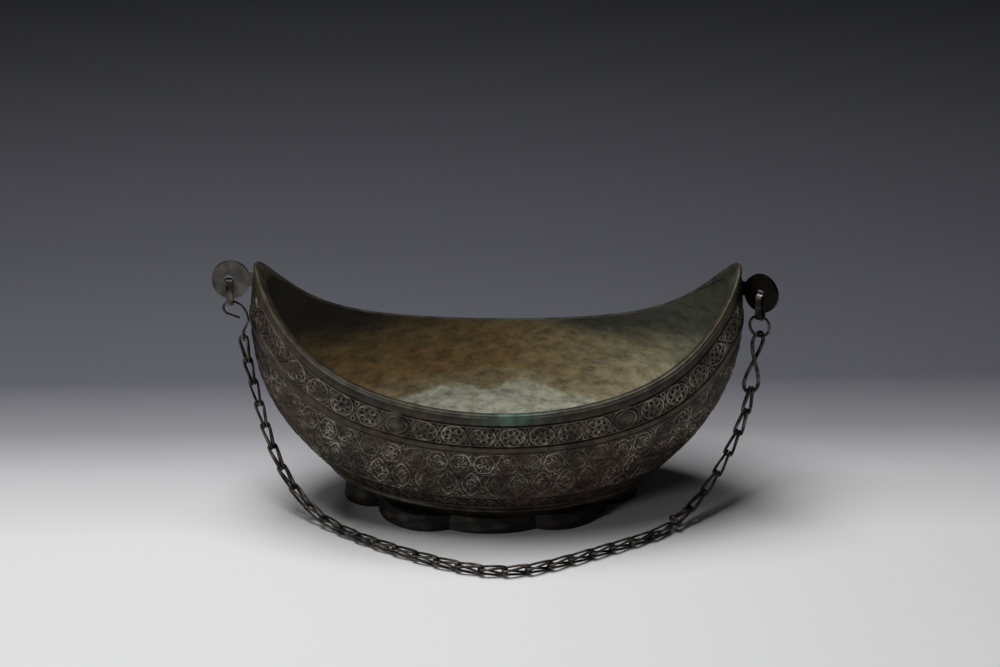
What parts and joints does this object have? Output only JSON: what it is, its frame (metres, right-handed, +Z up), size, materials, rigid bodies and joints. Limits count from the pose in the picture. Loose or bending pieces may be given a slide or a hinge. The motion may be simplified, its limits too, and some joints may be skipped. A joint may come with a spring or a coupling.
{
  "type": "kashkul begging bowl",
  "caption": "Boat-shaped begging bowl on a lobed foot, with raised tips, disc lugs, strap shackles and a loose carrying chain of folded wire links.",
  "frame": {"origin": "centre of the foot on the table plane", "axes": "+Z up; +X along the bowl towards its stern, which carries the figure-eight link; +Y to the side away from the chain"},
  "size_m": [0.2822, 0.1447, 0.1324],
  "materials": {
    "tinned_copper": "tinned copper, worn and patinated, engraved all over",
    "dark_copper": "dark patinated copper",
    "lug_bronze": "dark worn copper alloy",
    "rusty_strap": "rusted iron strap",
    "rusty_wire": "rusted iron wire",
    "iron_wire": "dark iron wire",
    "chain_iron": "dark iron wire with rust"
  },
  "bodies": {
    "bowl": {"bowl_shell": "tinned_copper", "foot_ring": "dark_copper", "left_lug": "lug_bronze", "right_lug": "lug_bronze"},
    "left_shackle": {"left_shackle": "rusty_strap"},
    "s_hook": {"s_hook": "rusty_wire"},
    "link_01": {"link_01": "chain_iron"},
    "link_02": {"link_02": "chain_iron"},
    "link_03": {"link_03": "chain_iron"},
    "link_04": {"link_04": "chain_iron"},
    "link_05": {"link_05": "chain_iron"},
    "link_06": {"link_06": "chain_iron"},
    "link_07": {"link_07": "chain_iron"},
    "link_08": {"link_08": "chain_iron"},
    "link_09": {"link_09": "chain_iron"},
    "link_10": {"link_10": "chain_iron"},
    "link_11": {"link_11": "chain_iron"},
    "link_12": {"link_12": "chain_iron"},
    "link_13": {"link_13": "chain_iron"},
    "link_14": {"link_14": "chain_iron"},
    "link_15": {"link_15": "chain_iron"},
    "link_16": {"link_16": "chain_iron"},
    "link_17": {"link_17": "chain_iron"},
    "link_18": {"link_18": "chain_iron"},
    "link_19": {"link_19": "chain_iron"},
    "link_20": {"link_20": "chain_iron"},
    "link_21": {"link_21": "chain_iron"},
    "link_22": {"link_22": "chain_iron"},
    "link_23": {"link_23": "chain_iron"},
    "link_24": {"link_24": "chain_iron"},
    "link_25": {"link_25": "chain_iron"},
    "link_26": {"link_26": "chain_iron"},
    "right_shackle": {"right_shackle": "rusty_strap"},
    "right_ring": {"right_ring": "iron_wire"},
    "figure_eight_link": {"figure_eight_link": "iron_wire"},
    "link_33": {"link_33": "chain_iron"},
    "link_32": {"link_32": "chain_iron"},
    "link_31": {"link_31": "chain_iron"},
    "link_30": {"link_30": "chain_iron"},
    "link_29": {"link_29": "chain_iron"},
    "link_28": {"link_28": "chain_iron"},
    "link_27": {"link_27": "chain_iron", "mend_wire": "rusty_wire"}
  },
  "joints": [
    {"name": "left_shackle_swing", "type": "hinge", "parent": "bowl", "child": "left_shackle", "pos_m": [-0.13376, 0, 0.12295], "axis": [0, 1, 0], "range_deg": [0, 45]},
    {"name": "hook_swing", "type": "hinge", "parent": "left_shackle", "child": "s_hook", "pos_m": [-0.13376, 0, 0.11033], "axis": [1, 0, 0], "range_deg": [-35, 0]},
    {"name": "link_01_joint", "type": "hinge", "parent": "s_hook", "child": "link_01", "pos_m": [-0.12796, -0.00034, 0.08873], "axis": [-0.0227, -0.9895, 0.1431], "range_deg": [-18, 0]},
    {"name": "link_02_joint", "type": "hinge", "parent": "link_01", "child": "link_02", "pos_m": [-0.12616, -0.00208, 0.07731], "axis": [-0.0571, 0.9823, -0.1786], "range_deg": [0, 18]},
    {"name": "link_03_joint", "type": "hinge", "parent": "link_02", "child": "link_03", "pos_m": [-0.12371, -0.00404, 0.06603], "axis": [0.1416, -0.9654, 0.2188], "range_deg": [-18, 0]},
    {"name": "link_04_joint", "type": "hinge", "parent": "link_03", "child": "link_04", "pos_m": [-0.12117, -0.00627, 0.05482], "axis": [-0.2281, 0.9384, -0.2598], "range_deg": [0, 18]},
    {"name": "link_05_joint", "type": "hinge", "parent": "link_04", "child": "link_05", "pos_m": [-0.11838, -0.00884, 0.04375], "axis": [0.2948, -0.8889, 0.3507], "range_deg": [-18, 0]},
    {"name": "link_06_joint", "type": "hinge", "parent": "link_05", "child": "link_06", "pos_m": [-0.11482, -0.01221, 0.03313], "axis": [-0.3271, 0.805, -0.495], "range_deg": [0, 18]},
    {"name": "link_07_joint", "type": "hinge", "parent": "link_06", "child": "link_07", "pos_m": [-0.11006, -0.01669, 0.02344], "axis": [0.3381, -0.685, 0.6454], "range_deg": [-18, 0]},
    {"name": "link_08_joint", "type": "hinge", "parent": "link_07", "child": "link_08", "pos_m": [-0.10404, -0.02221, 0.01509], "axis": [-0.3132, 0.5255, -0.791], "range_deg": [0, 18]},
    {"name": "link_09_joint", "type": "hinge", "parent": "link_08", "child": "link_09", "pos_m": [-0.0968, -0.02867, 0.00864], "axis": [0.2213, -0.313, 0.9236], "range_deg": [-18, 0]},
    {"name": "link_10_joint", "type": "hinge", "parent": "link_09", "child": "link_10", "pos_m": [-0.08852, -0.03591, 0.00476], "axis": [-0.1197, 0.1017, -0.9876], "range_deg": [0, 18]},
    {"name": "link_11_joint", "type": "hinge", "parent": "link_10", "child": "link_11", "pos_m": [-0.07969, -0.04342, 0.00319], "axis": [0.0307, -0.0244, 0.9992], "range_deg": [-18, 0]},
    {"name": "link_12_joint", "type": "hinge", "parent": "link_11", "child": "link_12", "pos_m": [-0.07053, -0.05071, 0.00284], "axis": [0.0074, -0.0054, -1], "range_deg": [0, 18]},
    {"name": "link_13_joint", "type": "hinge", "parent": "link_12", "child": "link_13", "pos_m": [-0.06106, -0.05759, 0.00294], "axis": [-0.0062, 0.0041, 1], "range_deg": [-18, 0]},
    {"name": "link_14_joint", "type": "hinge", "parent": "link_13", "child": "link_14", "pos_m": [-0.05128, -0.06404, 0.00301], "axis": [-0.002, 0.0012, -1], "range_deg": [0, 18]},
    {"name": "link_15_joint", "type": "hinge", "parent": "link_14", "child": "link_15", "pos_m": [-0.04121, -0.07002, 0.00298], "axis": [0.0034, -0.0018, 1], "range_deg": [-18, 0]},
    {"name": "link_16_joint", "type": "hinge", "parent": "link_15", "child": "link_16", "pos_m": [-0.03087, -0.07551, 0.00294], "axis": [-0.0008, 0.0003, -1], "range_deg": [0, 18]},
    {"name": "link_17_joint", "type": "hinge", "parent": "link_16", "child": "link_17", "pos_m": [-0.0202, -0.08034, 0.00293], "axis": [-0.0009, 0.0003, 1], "range_deg": [-18, 18]},
    {"name": "link_18_joint", "type": "hinge", "parent": "link_17", "child": "link_18", "pos_m": [-0.00904, -0.08387, 0.00294], "axis": [0.0007, -0.0001, -1], "range_deg": [-18, 18]},
    {"name": "link_19_joint", "type": "hinge", "parent": "link_18", "child": "link_19", "pos_m": [0.0026, -0.08513, 0.00295], "axis": [0.001, 0.0002, 1], "range_deg": [-18, 18]},
    {"name": "link_20_joint", "type": "hinge", "parent": "link_19", "child": "link_20", "pos_m": [0.01418, -0.08334, 0.00294], "axis": [-0.0009, -0.0003, -1], "range_deg": [-18, 18]},
    {"name": "link_21_joint", "type": "hinge", "parent": "link_20", "child": "link_21", "pos_m": [0.02517, -0.07931, 0.00293], "axis": [-0.0013, -0.0006, 1], "range_deg": [-18, 18]},
    {"name": "link_22_joint", "type": "hinge", "parent": "link_21", "child": "link_22", "pos_m": [0.03575, -0.07428, 0.00296], "axis": [0.0046, 0.0023, -1], "range_deg": [-18, 18]},
    {"name": "link_23_joint", "type": "hinge", "parent": "link_22", "child": "link_23", "pos_m": [0.04621, -0.06901, 0.00301], "axis": [-0.003, -0.0015, 1], "range_deg": [-18, 18]},
    {"name": "link_24_joint", "type": "hinge", "parent": "link_23", "child": "link_24", "pos_m": [0.0566, -0.06362, 0.00303], "axis": [-0.0061, -0.0033, -1], "range_deg": [-18, 18]},
    {"name": "link_25_joint", "type": "hinge", "parent": "link_24", "child": "link_25", "pos_m": [0.06691, -0.05806, 0.00295], "axis": [0.0609, -0.0892, 0.9942], "range_deg": [-18, 18]},
    {"name": "link_26_joint", "type": "hinge", "parent": "link_25", "child": "link_26", "pos_m": [0.07705, -0.05222, 0.00303], "axis": [-0.067, 0.2261, -0.9718], "range_deg": [-18, 18]},
    {"name": "right_shackle_swing", "type": "hinge", "parent": "bowl", "child": "right_shackle", "pos_m": [0.1317, -0.00653, 0.1149], "axis": [0.6157, 0.788, 0], "range_deg": [-45, 7.6]},
    {"name": "ring_swing", "type": "hinge", "parent": "right_shackle", "child": "right_ring", "pos_m": [0.1317, -0.00653, 0.1023], "axis": [0.866, -0.5, 0], "range_deg": [0, 18.7]},
    {"name": "figure_eight_swing", "type": "hinge", "parent": "right_ring", "child": "figure_eight_link", "pos_m": [0.1317, -0.00653, 0.0911], "axis": [0.866, -0.5, 0], "range_deg": [0, 25]},
    {"name": "link_33_joint", "type": "hinge", "parent": "figure_eight_link", "child": "link_33", "pos_m": [0.1283, -0.00733, 0.05993], "axis": [1, 0, 0], "range_deg": [-18, 18]},
    {"name": "link_32_joint", "type": "hinge", "parent": "link_33", "child": "link_32", "pos_m": [0.12681, -0.00924, 0.05113], "axis": [0.0424, -0.9785, 0.202], "range_deg": [-0.8, 18]},
    {"name": "link_31_joint", "type": "hinge", "parent": "link_32", "child": "link_31", "pos_m": [0.12278, -0.01307, 0.04086], "axis": [-0.0478, 0.9293, -0.3663], "range_deg": [-18, 18]},
    {"name": "link_30_joint", "type": "hinge", "parent": "link_31", "child": "link_30", "pos_m": [0.11765, -0.01785, 0.03149], "axis": [0.0208, -0.8864, 0.4625], "range_deg": [-18, 18]},
    {"name": "link_29_joint", "type": "hinge", "parent": "link_30", "child": "link_29", "pos_m": [0.11181, -0.02318, 0.02285], "axis": [0.027, 0.8335, -0.5518], "range_deg": [-18, 18]},
    {"name": "link_28_joint", "type": "hinge", "parent": "link_29", "child": "link_28", "pos_m": [0.10519, -0.0291, 0.01524], "axis": [-0.0554, -0.7479, 0.6614], "range_deg": [-18, 18]},
    {"name": "link_27_joint", "type": "hinge", "parent": "link_28", "child": "link_27", "pos_m": [0.09752, -0.03555, 0.00924], "axis": [0.0499, 0.6168, -0.7855], "range_deg": [-18, 18]}
  ]
}
